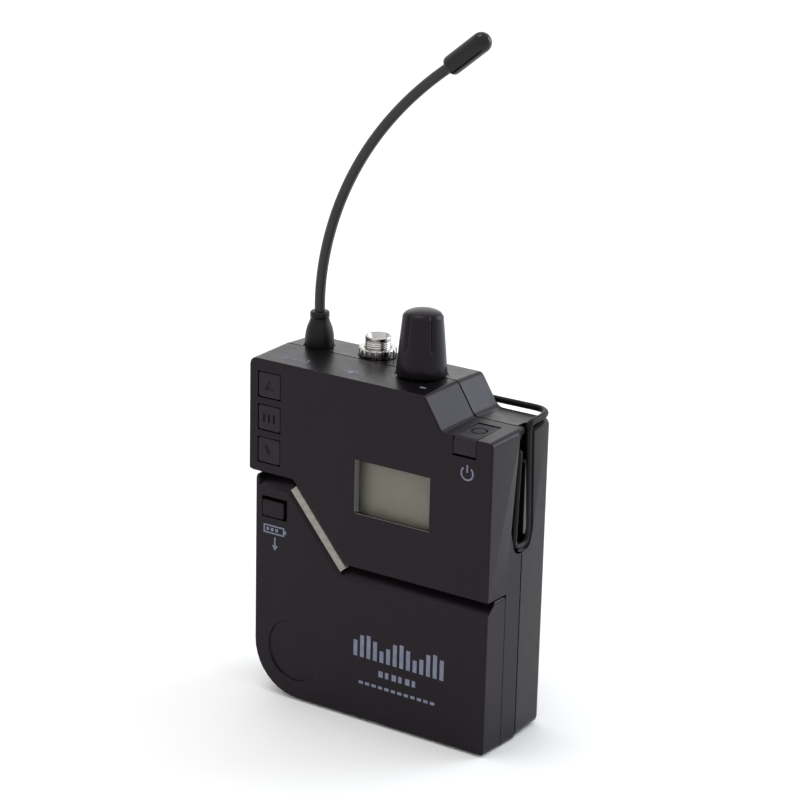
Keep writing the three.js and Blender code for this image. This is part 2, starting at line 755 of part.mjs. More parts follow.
function gainKnob() {
  const { baseRadius, topRadius, height, dome } = knob;
  const profile = [[0, 0], [baseRadius - 0.2, 0], [baseRadius, 0.4], [baseRadius - 0.15, 3.2]];
  profile.push([topRadius, height]);
  for (let step = 1; step <= 3; step += 1) {
    const angle = (step * Math.PI) / 6;
    profile.push([Math.max(0, topRadius * Math.cos(angle)), height + dome * Math.sin(angle)]);
  }
  const base = tallTop + knob.lift;
  const body = turned(profile, knobAt, base, 40);
  const lean = Math.atan2(baseRadius - topRadius, height);
  const grooves = Array.from({ length: knob.flutes }, (_, k) => {
    const groove = new THREE.CylinderGeometry(0.55, 0.55, height + 4, 6).rotateX(Math.PI / 2);
    groove.translate(0, 0, height / 2 + 7.2).rotateY(-lean).translate(baseRadius + 0.1, 0, 0);
    groove.rotateZ((2 * Math.PI * k) / knob.flutes - 0.55);
    return toSolid(groove.translate(knobAt.x, knobAt.y, base));
  });
  return cut(body, rodUp(knobAt, base - 1, base + 12.2, 2.8, 16), ...grooves);
}

function micJack() {
  const radius = 3;
  const depth = 0.28;
  const profile = [[0, -9.5], [radius - depth, -9.5]];
  const firstThread = -1.8;
  const pitch = 0.9;
  for (let thread = 0; thread < 6; thread += 1) {
    const z = firstThread + thread * pitch;
    profile.push([radius - depth, z], [radius, z + pitch * 0.4]);
  }
  profile.push([radius - depth, firstThread + 6 * pitch], [radius - depth, 4.2], [radius, 4.4]);
  profile.push([radius, 4.8], [radius - 0.3, 5.1], [0, 5.1]);
  const barrel = turned(profile, jackAt, tallTop, 20);
  const body = block([jackAt.x - 4, jackAt.x + 4], [jackAt.y - 4, jackAt.y + 3.6], [tallTop - 14, tallTop - 2]);
  return cut(join(barrel, body), rodUp(jackAt, tallTop - 12, tallTop + 8, 1.8, 16));
}

function micJackNut() {
  const notches = 18;
  const ring = turned([[0, 0.3], [4.3, 0.3], [4.3, 2.2], [4.1, 2.4], [0, 2.4]], jackAt, tallTop, 36);
  const teeth = Array.from({ length: notches }, (_, k) => {
    const angle = (2 * Math.PI * k) / notches;
    const at = { x: jackAt.x + 4.45 * Math.cos(angle), y: jackAt.y + 4.45 * Math.sin(angle) };
    return rodUp(at, tallTop, tallTop + 4, 0.36, 6);
  });
  return cut(ring, rodUp(jackAt, tallTop - 1, tallTop + 4, 3.3), ...teeth);
}

// ---------- Antenna ----------

function antennaSocket() {
  const plug = rodUp(antennaAt, tallTop - 9, tallTop - 0.1, 2.7);
  return join(plug, block([antennaAt.x - 3, antennaAt.x + 4], [12.5, 19.6], [tallTop - 12, tallTop - 3]));
}

function antennaBoot() {
  const profile = [
    [0, 0.3],
    [3.3, 0.3],
    [3.35, 1.2],
    [3.25, 2.8],
    [2.95, 4.2],
    [2.45, 5.6],
    [2.1, 6.7],
    [2.2, 7.1],
    [2.2, 8.1],
    [1.85, 8.5],
    [0, 8.5],
  ];
  const bore = rodUp(antennaAt, tallTop + 3, tallTop + 12, whip.radius + gap, 14);
  return cut(turned(profile, antennaAt, tallTop), bore);
}

// The whip leaves its foot upright, then leans over ever less sharply.
const whipCurve = new THREE.CubicBezierCurve3(
  new THREE.Vector3(antennaAt.x, antennaAt.y, whip.root),
  new THREE.Vector3(antennaAt.x, antennaAt.y, whip.root + 0.8),
  new THREE.Vector3(antennaAt.x - 2.6, antennaAt.y, whip.root + 34.1),
  new THREE.Vector3(whip.endX, antennaAt.y, whip.endZ),
);
const whipLength = whipCurve.getLength();

// The part of the whip between two lengths along it.
class WhipStretch extends THREE.Curve {
  constructor(from, to) {
    super();
    this.from = from;
    this.to = to;
  }

  getPoint(t) {
    return whipCurve.getPointAt((this.from + (this.to - this.from) * t) / whipLength);
  }
}

const flexPoint = whipCurve.getPointAt(flexAt / whipLength);

function whipLower() {
  const stretch = new WhipStretch(0, flexAt - whip.radius - gap);
  const stub = rodUp(antennaAt, tallTop + 3.4, whip.root + 0.2, whip.radius, 8);
  return join(sweep(stretch, whip.radius, 8, 5), stub);
}

function whipUpper() {
  const stretch = sweep(new WhipStretch(flexAt, whipLength - gap), whip.radius, 8, 22);
  return join(stretch, ball(flexPoint.x, flexPoint.y, flexPoint.z, whip.radius));
}

function antennaTip() {
  const { radius, length } = tip;
  const profile = [[0, 0], [radius * 0.85, 0], [radius, 0.5]];
  for (let step = 0; step <= 5; step += 1) {
    const angle = (step * Math.PI) / 10;
    profile.push([Math.max(0, radius * Math.cos(angle)), length - radius + radius * Math.sin(angle)]);
  }
  const points = profile.map(([r, height]) => new THREE.Vector2(r, height));
  const geometry = new THREE.LatheGeometry([...points, points[0]], 16).rotateX(Math.PI / 2);
  geometry.rotateY(tip.lean).translate(whip.endX, antennaAt.y, whip.endZ);
  return toSolid(geometry);
}

// ---------- Belt clip ----------

function point(x, y, z) {
  return new THREE.Vector3(x, y, z);
}

// The hairpin lies in the side slot around the island. It is the clip's spring.
function clipSpring(side) {
  const x = wire.x * side;
  const points = [
    point(x, elbow.y, elbow.z - wire.radius - gap),
    point(x, slot.back - 1.25, slot.tip + 1.05),
    point(x, slot.front + 2.2, slot.tip + 1.05),
    point(x, 11.6, 67.2),
  ];
  return bentWire(points, [2.7, 2.7], wire.radius);
}

// From elbow to elbow: side runs, shoulders and the long tongue that hangs behind the back.
function clipTongue() {
  const half = [
    point(wire.x, elbow.y, elbow.z),
    point(wire.x, wire.barY, wire.runZ),
    point(tongue.halfWidth, wire.barY, tongue.shoulderZ),
    point(tongue.halfWidth, wire.barY, tongue.bottomZ),
  ];
  const mirror = half.map(({ x, y, z }) => point(-x, y, z)).reverse();
  const bends = [tongue.cornerBend, tongue.shoulderBend, tongue.tipBend];
  const body = bentWire([...half, ...mirror], [...bends, ...[...bends].reverse()], wire.radius);
  const ends = [-wire.x, wire.x].map((x) => ball(x, elbow.y, elbow.z, wire.radius));
  return join(body, ...ends);
}

// ---------- Batteries and contacts ----------

function cellZ(row) {
  return cell.lowZ + row * cell.pitch;
}

// Cells lie across the pack, one above the other, turned opposite ways.
function batteryCell(row) {
  const nubEnd = row === 0 ? -1 : 1;
  const profile = [[0, 0], [cell.radius - 0.3, 0], [cell.radius, 0.3], [cell.radius, cell.length - 0.4]];
  profile.push([cell.radius - 0.4, cell.length], [2.75, cell.length], [2.75, cell.length + 1], [0, cell.length + 1]);
  const points = profile.map(([r, height]) => new THREE.Vector2(r, height));
  const geometry = new THREE.LatheGeometry([...points, points[0]], 24).translate(0, -cell.length / 2, 0);
  geometry.rotateZ((-nubEnd * Math.PI) / 2);
  return toSolid(geometry.translate(cell.x, cell.y, cellZ(row)));
}

function batteryTray() {
  const inner = inset(bayCorners, wall + 0.5);
  const top = cellZ(1) + cell.radius - 0.3;
  const room = block([-tray.halfWidth, tray.halfWidth], [0, 30], [0, top]);
  const floor = slab(inner, tray.floorFront, tray.floorFront + tray.floor).intersect(room);
  const ends = [-1, 1].map((side) =>
    block(span(side, tray.halfWidth - 1, tray.halfWidth), [5, tray.floorFront + 0.5], [8.6, top]),
  );
  const rib = block([-18, 20], [13.6, tray.floorFront + 0.5], [cellZ(0) + 6.9, cellZ(1) - 6.9]);
  const halves = [0, 1].map((row) => {
    const geometry = new THREE.CylinderGeometry(cell.radius + gap, cell.radius + gap, 60, 32);
    return toSolid(geometry.rotateZ(Math.PI / 2).translate(0, cell.y, cellZ(row)));
  });
  return join(cut(join(floor, rib), ...halves), ...ends);
}

function coilSpring(x0, x1, z) {
  const turns = 3;
  class Coil extends THREE.Curve {
    getPoint(t) {
      const angle = 2 * Math.PI * turns * t;
      const radius = 4.2 - 2.6 * t;
      return new THREE.Vector3(x0 + (x1 - x0) * t, cell.y + radius * Math.cos(angle), z + radius * Math.sin(angle));
    }
  }
  return sweep(new Coil(), 0.3, 6, turns * 12);
}

const contactFace = tray.halfWidth - 1 - gap;

function contactPlate(side, zLow, zHigh) {
  return block(span(side, contactFace - 0.4, contactFace), [cell.y - 4.5, cell.y + 4.5], [zLow, zHigh]);
}

// ---------- Fasteners ----------

function caseScrew([x, z]) {
  const head = bodyDepth - 2 + gap;
  const screw = join(rodBack(x, z, 5, head + 0.2, 0.95, 10), rodBack(x, z, head, head + 1.3, 1.9, 16));
  const arms = [block([x - 1.2, x + 1.2], [head + 0.6, head + 3], [z - 0.25, z + 0.25])];
  arms.push(block([x - 0.25, x + 0.25], [head + 0.6, head + 3], [z - 1.2, z + 1.2]));
  return cut(screw, ...arms);
}

// ---------- Assembly ----------

addPart('front_housing', frontHousing(), satinBlack());
addPart('rear_shell', rearShell(), satinBlack());
addPart('battery_door', batteryDoor(), satinBlack());
addPart('door_latch', doorLatch(), satinBlack());
addPart('light_bar', lightBar(), milky());
addPart('status_led', statusLed(), clear());
addPart('lcd_window', lcdWindow(), clear());
addPart('lcd_module', lcdModule(), displayGrey());
addPart('lcd_frame', lcdFrame(), rubberGrey());

['key_up', 'key_set', 'key_down'].forEach((name, row) => addPart(name, keyCap(row), keyBlack()));
addPart('key_mat', keyMat(), rubberGrey());
[0, 1, 2].forEach((row) => {
  addPart(`key_switch_${row + 1}`, tactSwitch(keyCentres.x + 2, keyCentreZ(row)), tin());
});
addPart('power_key', powerKeyCap(), keyBlack());
addPart('power_switch', powerSwitch(), tin());

addPart('main_board', mainBoard(), boardGreen());
addPart('rf_shield', rfShield(), tin());
addPart('gain_pot', gainPot(), tin());
addPart('pot_shaft', potShaft(), tin());
addPart('gain_knob', gainKnob(), satinBlack());
addPart('mic_jack', micJack(), chrome());
addPart('mic_jack_nut', micJackNut(), chrome());

addPart('antenna_socket', antennaSocket(), brass());
addPart('antenna_boot', antennaBoot(), softBlack());
addPart('whip_lower', whipLower(), softBlack());
addPart('whip_upper', whipUpper(), softBlack());
addPart('antenna_tip', antennaTip(), softBlack());

addPart('clip_spring_left', clipSpring(-1), blackSteel());
addPart('clip_spring_right', clipSpring(1), blackSteel());
addPart('clip_tongue', clipTongue(), blackSteel());

addPart('battery_tray', batteryTray(), satinBlack());
[0, 1].forEach((row) => addPart(`battery_${row + 1}`, batteryCell(row), cellBlue()));
addPart('spring_lower', coilSpring(contactFace - 1, cell.x + cell.length / 2 + gap + 0.3, cellZ(0)), tin());
addPart('spring_upper', coilSpring(-contactFace + 1, cell.x - cell.length / 2 - gap - 0.3, cellZ(1)), tin());
addPart('contact_bridge', contactPlate(-1, cellZ(0) - 3, cellZ(1) + 4.5), tin());
addPart('contact_negative', contactPlate(1, cellZ(0) - 4, cellZ(0) + 4.5), tin());
addPart('contact_positive', contactPlate(1, cellZ(1) - 4.5, cellZ(1) + 4.5), tin());

bosses.forEach((boss, i) => addPart(`case_screw_${i + 1}`, caseScrew(boss), blackSteel()));

// The origin is under the middle of the casing, on the surface that it stands on.
transmitter.position.set(-middleX, -middleY, -foot);

export default transmitter;
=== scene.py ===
"""The looks of a wireless bodypack transmitter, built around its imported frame.

Metres, in the frame of the pack: X to the right across the front, Y to the back, Z up.
"""

import json
import math

import bmesh
import bpy
from mathutils import Matrix, Vector


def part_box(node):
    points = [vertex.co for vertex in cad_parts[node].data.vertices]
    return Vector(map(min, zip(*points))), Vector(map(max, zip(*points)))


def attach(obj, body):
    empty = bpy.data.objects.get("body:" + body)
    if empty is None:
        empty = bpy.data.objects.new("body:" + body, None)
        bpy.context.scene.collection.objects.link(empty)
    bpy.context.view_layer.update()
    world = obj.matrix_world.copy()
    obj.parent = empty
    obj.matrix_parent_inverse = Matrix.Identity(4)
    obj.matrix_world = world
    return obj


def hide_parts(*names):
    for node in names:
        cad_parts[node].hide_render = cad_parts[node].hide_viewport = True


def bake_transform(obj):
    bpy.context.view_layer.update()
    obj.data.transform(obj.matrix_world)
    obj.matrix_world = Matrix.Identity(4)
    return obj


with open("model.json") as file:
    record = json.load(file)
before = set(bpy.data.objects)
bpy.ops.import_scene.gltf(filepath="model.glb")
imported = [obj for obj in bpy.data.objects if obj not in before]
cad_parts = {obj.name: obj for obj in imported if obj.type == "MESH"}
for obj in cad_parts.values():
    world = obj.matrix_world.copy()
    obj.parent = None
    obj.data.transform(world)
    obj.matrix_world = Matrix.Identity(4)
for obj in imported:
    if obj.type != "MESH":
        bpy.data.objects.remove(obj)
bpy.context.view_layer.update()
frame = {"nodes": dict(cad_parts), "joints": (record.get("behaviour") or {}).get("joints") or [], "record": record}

MM = 0.001
BODY_OF = {
    node: body for body, nodes in frame["record"]["behaviour"]["bodies"].items() for node in nodes
}
PIVOT_OF = {joint["name"]: Vector(joint["pos_m"]) for joint in frame["joints"] if "pos_m" in joint}

# ---------- Places taken from the frame ----------

casing_low, casing_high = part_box("front_housing")
FRONT = casing_low.y
SEAT_GAP = 0.3 * MM  # the knob, the boot and the nut clear their seats by this much
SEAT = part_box("mic_jack_nut")[0].z - SEAT_GAP
DRAFT = casing_high.z - SEAT  # the tall top rises this much from its front edge to the seam
SEAM = casing_high.y
SLIVER = 0.012 * MM  # points of a CAD mesh that are closer than this become one
FLAT_WITHIN = math.radians(0.6)  # faces of a CAD mesh that turn by less than this become one


def centre_of(node):
    low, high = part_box(node)
    return (low + high) / 2


def half_width(node):
    low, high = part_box(node)
    return (high.x - low.x) / 2


# ---------- Materials ----------

def shader_graph(name):
    material = bpy.data.materials.new(name)
    material.use_nodes = True
    tree = material.node_tree
    return material, tree, tree.nodes["Principled BSDF"]


def noise(tree, scale, detail=3.0, roughness=0.55):
    """Noise over the surface. Scale counts features per metre."""
    place = tree.nodes.new("ShaderNodeTexCoord")
    texture = tree.nodes.new("ShaderNodeTexNoise")
    texture.inputs["Scale"].default_value = scale
    texture.inputs["Detail"].default_value = detail
    texture.inputs["Roughness"].default_value = roughness
    tree.links.new(place.outputs["Object"], texture.inputs["Vector"])
    return texture.outputs["Fac"]


def spread(tree, value, low, high):
    remap = tree.nodes.new("ShaderNodeMapRange")
    remap.inputs["From Min"].default_value = 0.3
    remap.inputs["From Max"].default_value = 0.7
    remap.inputs["To Min"].default_value = low
    remap.inputs["To Max"].default_value = high
    tree.links.new(value, remap.inputs["Value"])
    return remap.outputs["Result"]


def blend_colours(tree, value, dark, light):
    mix = tree.nodes.new("ShaderNodeMix")
    mix.data_type = "RGBA"
    mix.inputs["A"].default_value = (*dark, 1)
    mix.inputs["B"].default_value = (*light, 1)
    tree.links.new(spread(tree, value, 0, 1), mix.inputs["Factor"])
    return mix.outputs["Result"]


GLOSS_PATCHES = 2.3  # the gloss varies over patches this much finer than the colour's


def surface(
    name, dark, light, roughness, grain, metallic=0.0, ior=1.45, patch=160, bevel=0.0, sheen=(1, 1, 1)
):
    """A mottled surface. roughness is (least, most); grain is (features per metre, height)."""
    material, tree, shader = shader_graph(name)
    shader.inputs["Specular Tint"].default_value = (*sheen, 1)
    shader.inputs["Metallic"].default_value = metallic
    shader.inputs["IOR"].default_value = ior
    patches = noise(tree, patch)
    tree.links.new(blend_colours(tree, patches, dark, light), shader.inputs["Base Color"])
    gloss = noise(tree, patch * GLOSS_PATCHES)
    tree.links.new(spread(tree, gloss, *roughness), shader.inputs["Roughness"])
    bump = tree.nodes.new("ShaderNodeBump")
    bump.inputs["Distance"].default_value = grain[1]
    bump.inputs["Strength"].default_value = 1.0
    tree.links.new(noise(tree, grain[0], 2.0), bump.inputs["Height"])
    if bevel:
        edge = tree.nodes.new("ShaderNodeBevel")
        edge.samples = 6
        edge.inputs["Radius"].default_value = bevel
        tree.links.new(edge.outputs["Normal"], bump.inputs["Normal"])
    tree.links.new(bump.outputs["Normal"], shader.inputs["Normal"])
    return material


def grey(value):
    return (value, value, value)


WARM_SHEEN = (1.0, 0.84, 1.0)  # a trace of purple in the reflections of the black mouldings

casing_plastic = surface(
    "casing_plastic", (0.003, 0.0022, 0.003), (0.0042, 0.0032, 0.0042), (0.27, 0.34), (2600, 0.000006),
    ior=1.295, bevel=0.00018, sheen=WARM_SHEEN,
)
key_plastic = surface(
    "key_plastic", (0.007, 0.0065, 0.0085), (0.0095, 0.009, 0.0115), (0.45, 0.55), (3200, 0.00001),
    ior=1.34, bevel=0.00014, sheen=WARM_SHEEN,
)
knob_plastic = surface(
    "knob_plastic", (0.0035, 0.003, 0.0035), (0.0045, 0.004, 0.0045), (0.28, 0.36), (3000, 0.000008),
    ior=1.3, sheen=WARM_SHEEN,
)
foot_rubber = surface(
    "foot_rubber", (0.0035, 0.0035, 0.004), (0.005, 0.005, 0.0055), (0.34, 0.44), (2200, 0.00001), ior=1.3
)
whip_rubber = surface(
    "whip_rubber", (0.009, 0.0085, 0.009), (0.013, 0.012, 0.013), (0.36, 0.46), (2200, 0.00001), ior=1.45
)
tip_plastic = surface(
    "tip_plastic", (0.003, 0.0028, 0.003), (0.0045, 0.004, 0.0045), (0.1, 0.15), (900, 0.000004), ior=1.36
)
clip_steel = surface(
    "clip_steel", (0.0025, 0.002, 0.002), (0.004, 0.0033, 0.003), (0.38, 0.46), (1800, 0.000006), ior=1.25
)
bright_chrome = surface(
    "bright_chrome", (0.46, 0.45, 0.43), (0.56, 0.55, 0.53), (0.12, 0.2), (1500, 0.000005), metallic=1.0
)
plain_tin = surface(
    "plain_tin", (0.42, 0.43, 0.44), (0.56, 0.57, 0.58), (0.26, 0.4), (1500, 0.00001), metallic=1.0
)
warm_brass = surface(
    "warm_brass", (0.5, 0.34, 0.1), (0.62, 0.44, 0.16), (0.28, 0.42), (1200, 0.00001), metallic=1.0
)
board_resist = surface(
    "board_resist", (0.008, 0.07, 0.02), (0.012, 0.1, 0.03), (0.3, 0.45), (900, 0.00002)
)
seal_rubber = surface("seal_rubber", grey(0.05), grey(0.07), (0.7, 0.85), (1500, 0.00002))
cell_sleeve = surface(
    "cell_sleeve", (0.03, 0.07, 0.14), (0.04, 0.09, 0.17), (0.25, 0.35), (500, 0.00001)
)
display_film = surface(
    "display_film", (0.25, 0.242, 0.189), (0.28, 0.27, 0.213), (0.5, 0.6), (2500, 0.000004), patch=60
)
milky_plastic = surface(
    "milky_plastic", (0.2, 0.185, 0.165), (0.29, 0.27, 0.245), (0.35, 0.5), (2600, 0.00002), patch=900
)
print_ink = surface(
    "print_ink", (0.12, 0.13, 0.19), (0.17, 0.185, 0.25), (0.5, 0.65), (4000, 0.000004), patch=700
)
# A dark grey for the painted shade inside the window's opening.
painted_shade_material = surface(
    "painted_shade_material", (0.03, 0.029, 0.026), (0.042, 0.041, 0.036), (0.5, 0.6), (900, 0.00001)
)
# A pale grey: a painted highlight along the window's moulded edge.
edge_painted_highlight = surface("edge_painted_highlight", grey(0.07), grey(0.11), (0.3, 0.4), (2600, 0.000004), patch=900)


def clear_plastic():
    material, tree, shader = shader_graph("clear_plastic")
    shader.inputs["Base Color"].default_value = (0.02, 0.02, 0.02, 1)
    shader.inputs["Alpha"].default_value = 0.14
    tree.links.new(spread(tree, noise(tree, 300), 0.03, 0.08), shader.inputs["Roughness"])
    return material


window_plastic = clear_plastic()

# ---------- Mesh helpers ----------


def finish_piece(obj, body, material, angle=32):
    """Shades a mesh smooth between its edges of more than angle degrees, and sets its
    material and its body.
    """
    mesh = obj.data
    mesh.materials.clear()
    mesh.materials.append(material)
    mesh.set_sharp_from_angle(angle=math.radians(angle))  # this also makes every face smooth
    shading = obj.modifiers.new("flat_faces_stay_flat", "WEIGHTED_NORMAL")
    shading.keep_sharp = True
    shading.weight = 100
    if body:
        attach(obj, body)
    return obj


def piece(name, vertices, faces, body, material, replaced=(), angle=32):
    """A new object, which takes the place of the CAD nodes that it replaces."""
    mesh = bpy.data.meshes.new(name)
    mesh.from_pydata([tuple(v) for v in vertices], [], faces)
    obj = bpy.data.objects.new(name, mesh)
    bpy.context.collection.objects.link(obj)
    work = bmesh.new()
    work.from_mesh(mesh)
    bmesh.ops.recalc_face_normals(work, faces=work.faces)
    work.to_mesh(mesh)
    work.free()
    finish_piece(obj, body, material, angle)
    if replaced:
        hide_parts(*replaced)
    return obj


def refined(node, material, angle=32):
    """A copy of a CAD node with its flat faces merged and its curved faces smooth."""
    mesh = frame["nodes"][node].data.copy()
    obj = bpy.data.objects.new(node + "_surface", mesh)
    bpy.context.collection.objects.link(obj)
    work = bmesh.new()
    work.from_mesh(mesh)
    bmesh.ops.remove_doubles(work, verts=work.verts, dist=SLIVER)
    bmesh.ops.dissolve_degenerate(work, dist=SLIVER, edges=work.edges)
    bmesh.ops.dissolve_limit(
        work, angle_limit=FLAT_WITHIN, verts=work.verts, edges=work.edges, delimit=set()
    )
    work.to_mesh(mesh)
    work.free()
    finish_piece(obj, BODY_OF[node], material, angle)
    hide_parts(node)
    return obj


def grid_faces(rings, sides, looped=False):
    """Faces between rings of vertices. The last ring joins the first, or both ends are closed."""
    faces = []
    count = rings * sides
    for ring in range(rings if looped else rings - 1):
        for k in range(sides):
            a = ring * sides + k
            b = ring * sides + (k + 1) % sides
            faces.append((a, b, (b + sides) % count, (a + sides) % count))
    if not looped:
        faces.append(tuple(reversed(range(sides))))
        faces.append(tuple(range(count - sides, count)))
    return faces


def turned(rows, axis, sides, looped=False):
    """Rings round an upright axis. A row is (radius, height), or a function of the angle that
    gives both.
    """
    vertices = []
    for row in rows:
        for k in range(sides):
            angle = 2 * math.pi * k / sides
            reach, height = row(angle) if callable(row) else row
            x = axis[0] + reach * math.cos(angle)
            y = axis[1] + reach * math.sin(angle)
            vertices.append((x, y, height))
    return vertices, grid_faces(len(rows), sides, looped)


END_STEPS = [math.radians(angle) for angle in (82, 60, 35)]  # rings of a tube's rounded end
BEND_STEPS = 10  # points in each rounded corner of a wire


def tube(points, radius, sides=16):
    """A round tube through points, without twist, with a half ball at each end."""
    tangents = []
    for i in range(len(points)):
        before = points[max(i - 1, 0)]
        after = points[min(i + 1, len(points) - 1)]
        tangents.append((after - before).normalized())

    def half_ball(centre, along, outward, angles):
        return [
            (centre + outward * radius * math.sin(a), along, radius * math.cos(a)) for a in angles
        ]

    rings = half_ball(points[0], tangents[0], -tangents[0], END_STEPS)
    rings += [(here, along, radius) for here, along in zip(points, tangents)]
    rings += half_ball(points[-1], tangents[-1], tangents[-1], reversed(END_STEPS))
    across = tangents[0].orthogonal().normalized()
    vertices = []
    for here, along, reach in rings:
        across = (across - along * across.dot(along)).normalized()
        other = along.cross(across)
        for k in range(sides):
            angle = 2 * math.pi * k / sides
            vertices.append(here + (across * math.cos(angle) + other * math.sin(angle)) * reach)
    return vertices, grid_faces(len(rings), sides)


def bezier(p0, p1, p2, p3, t):
    """A point of a cubic curve, at a share t of its way."""
    u = 1 - t
    return p0 * u ** 3 + p1 * 3 * u * u * t + p2 * 3 * u * t * t + p3 * t ** 3


def bent_path(corners, bends, spacing=1.2 * MM):
    """Straight runs whose corners are rounded, each over its own length."""
    points = [corners[0]]

    def run_to(end):
        start = points[-1]
        steps = max(1, round((end - start).length / spacing))
        points.extend(start.lerp(end, k / steps) for k in range(1, steps + 1))

    for before, corner, after, bend in zip(corners, corners[1:], corners[2:], bends):
        reach = min(bend, (before - corner).length / 2, (after - corner).length / 2)
        start = corner + (before - corner).normalized() * reach
        end = corner + (after - corner).normalized() * reach
        run_to(start)
        for k in range(1, BEND_STEPS + 1):
            t = k / BEND_STEPS
            points.append(start * (1 - t) ** 2 + corner * 2 * t * (1 - t) + end * t * t)
    run_to(corners[-1])
    return points


# ---------- Casing, keys and display ----------

for node in ["front_housing", "rear_shell", "battery_door", "door_latch"]:
    refined(node, casing_plastic)
for node in ["key_up", "key_set", "key_down", "power_key"]:
    refined(node, key_plastic)
refined("light_bar", milky_plastic)
refined("lcd_window", window_plastic)
refined("lcd_module", display_film)

# ---------- Gain knob ----------


def gain_knob():
    """A tapering knob with five fine flutes in its upper part and a shallow domed end."""
    low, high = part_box("gain_knob")
    axis = centre_of("gain_knob")
    base = half_width("gain_knob")
    top = base - 1.2 * MM
    dome = 1.4 * MM
    shoulder = high.z - dome
    flutes = 5
    flute_width = 0.36 * MM
    first_flute = 0.51  # radians, back from the X axis
    flute_depth = 0.5 * MM
    flute_start = low.z + 5.7 * MM
    flute_full = flute_start + 1.2 * MM  # from here up the flutes have their full depth
    flute_end = shoulder - 0.3 * MM
    waist = low.z + 3 * MM

    def flute(angle, radius):
        """How much of a flute's depth is cut at this angle, 0 to 1."""
        pitch = 2 * math.pi / flutes
        off = (angle + first_flute + pitch / 2) % pitch - pitch / 2
        return math.exp(-((off * radius / flute_width) ** 2))

    def side(radius, height, share):
        return lambda angle: (radius - flute_depth * share * flute(angle, radius), height)

    def taper(height):
        share = (height - low.z) / (shoulder - low.z)
        return base + (top - base) * share ** 1.12

    rows = [(base * 0.4, low.z), (base - 0.5 * MM, low.z), (base - 0.15 * MM, low.z + 0.12 * MM)]
    rows += [(base, low.z + 0.45 * MM), (taper(waist), waist)]
    for share in (0, 0.25, 0.5, 0.75, 1):
        height = flute_start + (flute_full - flute_start) * share
        rows.append(side(taper(height), height, share))
    for step in range(1, 7):
        height = flute_full + (flute_end - flute_full) * step / 6
        rows.append(side(taper(height), height, 1))
    rows += [side(top, shoulder - 0.1 * MM, 1), side(top - 0.1 * MM, shoulder, 1)]
    for step in range(1, 10):
        angle = math.radians(10 * step)
        reach = (top - 0.2 * MM) * math.cos(angle)
        rows.append(side(reach, shoulder + dome * math.sin(angle), max(0, 1 - step / 3)))
    vertices, faces = turned(rows, axis, 220)
    piece("knob_body", vertices, faces, "knob", knob_plastic, ["gain_knob"], angle=50)


gain_knob()

# ---------- Microphone socket ----------

THREAD_PITCH = 0.5 * MM
THREAD_DEPTH = 0.14 * MM
THREAD_FADE = 0.3 * MM


def thread_row(radius, height, bottom, top):
    """A ring of a screw thread, which fades out at both ends of the thread."""
    def ring(angle):
        turn = (height / THREAD_PITCH - angle / (2 * math.pi)) % 1
        crest = 1 - abs(2 * turn - 1)
        ends = min(1, (height - bottom) / THREAD_FADE, (top - height) / THREAD_FADE)
        return radius - THREAD_DEPTH * (1 - crest) * max(0, ends), height
    return ring


def microphone_socket():
    """A plated barrel with a fine thread outside, a wide countersink and the plug hole."""
    low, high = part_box("mic_jack")
    axis = centre_of("mic_jack_nut")
    radius = 3.0 * MM
    groove = radius - 0.16 * MM
    plug_hole = radius - 1.2 * MM
    root = low.z + 3 * MM
    hole_end = high.z - 8 * MM
    bottom = SEAT + 1.4 * MM  # the thread starts inside the nut
    top = high.z - 0.75 * MM  # it ends at a groove below a plain collar
    rows = [(radius * 0.3, root), (radius - THREAD_DEPTH, root), (radius, bottom)]
    steps = round((top - bottom) / (0.07 * MM))
    for k in range(1, steps):
        rows.append(thread_row(radius, bottom + (top - bottom) * k / steps, bottom, top))
    rows += [(groove, top), (groove, top + 0.14 * MM), (radius, top + 0.24 * MM)]
    rows += [(radius, high.z - 0.2 * MM), (radius - 0.18 * MM, high.z)]
    rows += [(radius - 0.32 * MM, high.z), (radius - 0.42 * MM, high.z - 0.1 * MM)]
    rows += [(radius - 1.12 * MM, high.z - 1.6 * MM), (plug_hole, high.z - 1.75 * MM)]
    rows += [(plug_hole, hole_end), (radius * 0.2, hole_end)]
    vertices, faces = turned(rows, axis, 72)
    piece("socket_barrel", vertices, faces, "root", bright_chrome, ["mic_jack"], angle=40)


def socket_nut():
    """A low plated ring with notches for a pin spanner round its side."""
    low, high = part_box("mic_jack_nut")
    axis = centre_of("mic_jack_nut")
    outer = half_width("mic_jack_nut")
    inner = 3.05 * MM
    notches = 18
    notch_depth = 0.3 * MM
    notch_half_width = 0.3 * MM
    notch_slope = 0.14 * MM

    def notched(radius, height):
        def ring(angle):
            pitch = 2 * math.pi / notches
            off = abs((angle + pitch / 2) % pitch - pitch / 2) * outer
            cut = min(1, max(0, (notch_half_width - off) / notch_slope))
            return radius - notch_depth * cut, height
        return ring

    rows = [(inner, low.z - SEAT_GAP), notched(outer - 0.12 * MM, low.z - SEAT_GAP)]
    rows += [notched(outer, low.z), notched(outer, high.z - 0.2 * MM)]
    rows += [notched(outer - 0.14 * MM, high.z), (outer - 0.7 * MM, high.z + 0.02 * MM)]
    rows += [(inner + 0.15 * MM, high.z), (inner, high.z - 0.15 * MM)]
    vertices, faces = turned(rows, axis, notches * 14, looped=True)
    piece("socket_nut", vertices, faces, "root", bright_chrome, ["mic_jack_nut"], angle=28)


microphone_socket()
socket_nut()

# ---------- Antenna ----------


